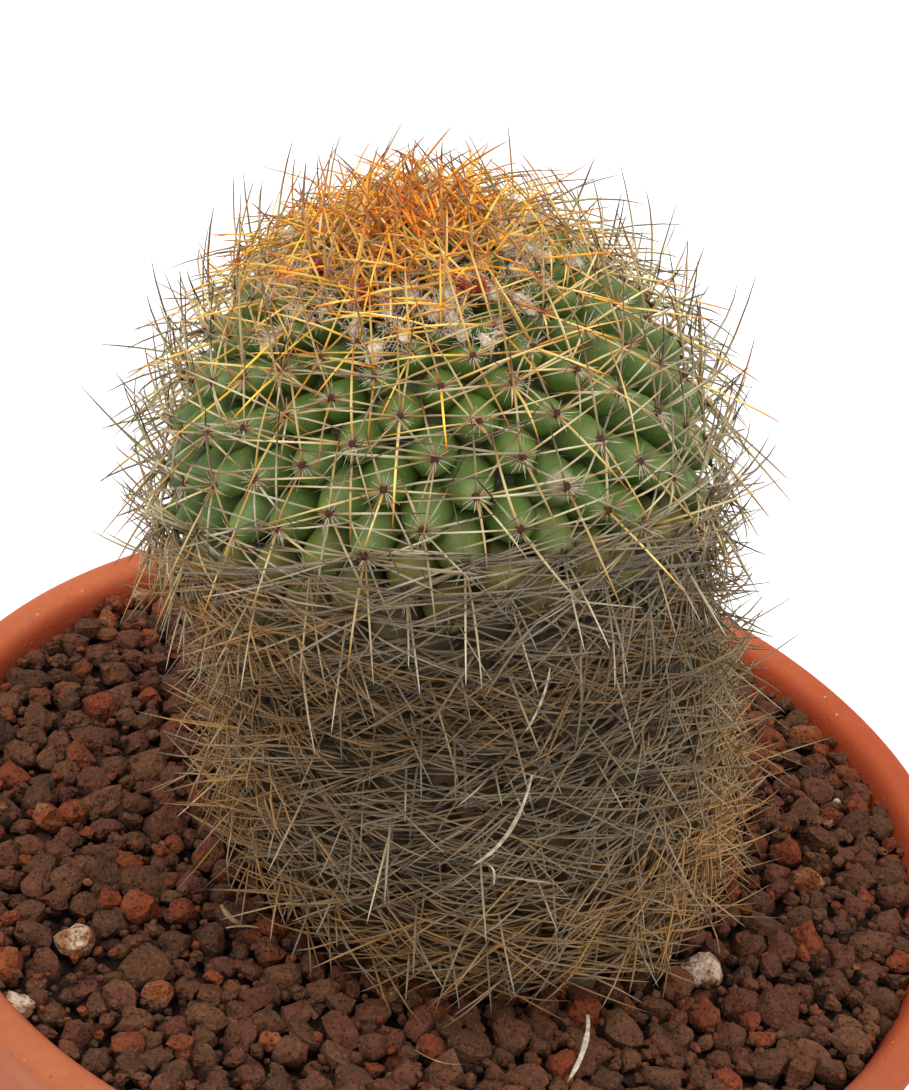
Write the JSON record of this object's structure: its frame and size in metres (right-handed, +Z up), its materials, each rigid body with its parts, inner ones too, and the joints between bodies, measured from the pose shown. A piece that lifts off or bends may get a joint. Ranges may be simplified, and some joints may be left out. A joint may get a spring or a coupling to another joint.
{
  "type": "potted mammillaria",
  "caption": "Leaning, densely spined mammillaria cactus with a green head, standing in lava gravel in a round terracotta bowl.",
  "frame": {"origin": "centre of the pot's foot, on the surface that it stands on", "axes": "+Z up; the stem leans towards -X, and the picture looks along +Y and down"},
  "size_m": [0.18, 0.18, 0.212],
  "materials": {
    "terracotta": "matt unglazed fired clay, dusty with lime bloom",
    "potting_soil": "damp, dark, crumbly potting mix",
    "lava_gravel": "rough, porous lava chips in brown and brick red",
    "cactus_skin": "soft-sheened green skin with straw, orange and grey spines"
  },
  "bodies": {
    "root": {"pot": "terracotta", "soil": "potting_soil", "gravel": "lava_gravel", "cactus": "cactus_skin"}
  },
  "joints": []
}
